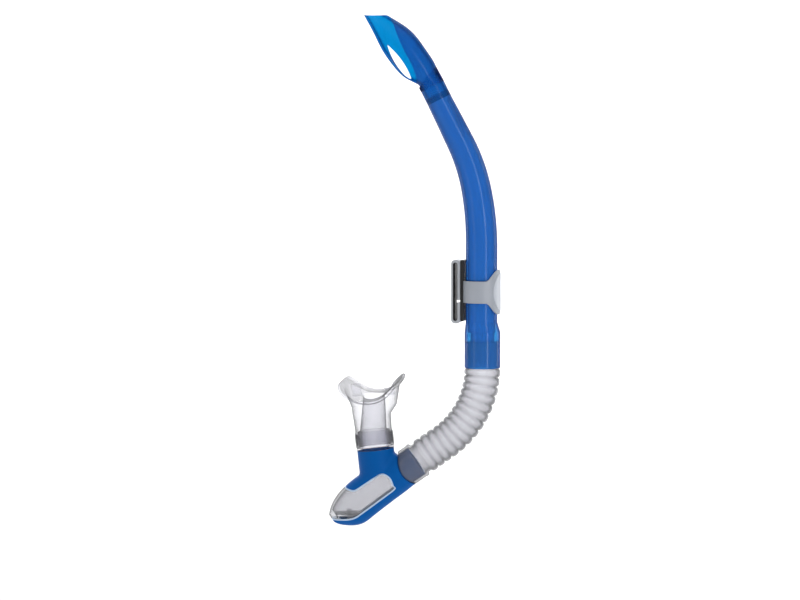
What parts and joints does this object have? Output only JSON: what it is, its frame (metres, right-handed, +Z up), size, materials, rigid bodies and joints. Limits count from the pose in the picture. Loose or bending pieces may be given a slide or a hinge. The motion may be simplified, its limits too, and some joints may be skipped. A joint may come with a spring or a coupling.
{
  "type": "snorkel tube",
  "caption": "Curved snorkel tube with splash guard, strap keeper, corrugated flexible hose, purge chamber and silicone mouthpiece.",
  "frame": {"origin": "on the axis of the barrel's straight stretch, level with the middle of the keeper", "axes": "+Z up the barrel to the splash guard, -X towards the mouthpiece, +Y across the curve's plane"},
  "size_m": [0.1375, 0.0397, 0.4085],
  "materials": {
    "blue_clear": "tinted see-through, glossy",
    "guard_clear": "tinted see-through, glossy",
    "collar_clear": "tinted see-through, glossy",
    "hose_silicone": "clear silicone, glossy",
    "sleeve_rubber": "matte",
    "keeper_grey": "satin",
    "pad_grey": "satin",
    "buckle_grey": "satin",
    "buckle_rubber": "matte",
    "chamber_blue": "satin",
    "cover_clear": "clear, glossy",
    "seal_pale": "satin",
    "seat_white": "satin",
    "membrane_silicone": "clear silicone",
    "adapter_clear": "clear, glossy",
    "mouth_silicone": "clear silicone, satin",
    "clamp_clear": "clear, glossy"
  },
  "bodies": {
    "tube": {"barrel": "blue_clear", "splash_guard": "guard_clear", "hose_collar": "collar_clear", "flex_hose": "hose_silicone"},
    "sleeve": {"keeper_sleeve": "sleeve_rubber"},
    "keeper": {"keeper_band": "keeper_grey", "keeper_pad": "pad_grey", "strap_buckle": "buckle_grey", "buckle_body": "buckle_rubber"},
    "lower_unit": {"chamber_shell": "chamber_blue", "purge_cover": "cover_clear", "cover_seal": "seal_pale", "purge_seat": "seat_white"},
    "mouth": {"mouthpiece_adapter": "adapter_clear", "mouthpiece": "mouth_silicone", "mouthpiece_clamp": "clamp_clear"},
    "purge_flap": {"purge_membrane": "membrane_silicone"}
  },
  "joints": [
    {"name": "keeper_slide", "type": "slide", "parent": "tube", "child": "sleeve", "axis": [0, 0, 1], "range_m": [-0.003, 0.015]},
    {"name": "keeper_turn", "type": "hinge", "parent": "sleeve", "child": "keeper", "pos_m": [0, 0, 0], "axis": [0, 0, 1], "range_deg": [-60, 60]},
    {"name": "hose_flex", "type": "hinge", "parent": "tube", "child": "lower_unit", "pos_m": [-0.01742, 0, -0.10937], "axis": [0, 1, 0], "range_deg": [-35, 12], "stiffness_Nm_per_rad": 0.5, "springref_deg": 4.58, "deforming": ["flex_hose"]},
    {"name": "mouthpiece_swivel", "type": "hinge", "parent": "lower_unit", "child": "mouth", "pos_m": [-0.0848, 0, -0.1268], "axis": [-0.1045, 0, 0.9945], "range_deg": [-30, 30]},
    {"name": "purge_lift", "type": "slide", "parent": "lower_unit", "child": "purge_flap", "axis": [0, 0, -1], "range_m": [0, 0.0015], "stiffness_N_per_m": 20, "springref_m": -0.001}
  ]
}
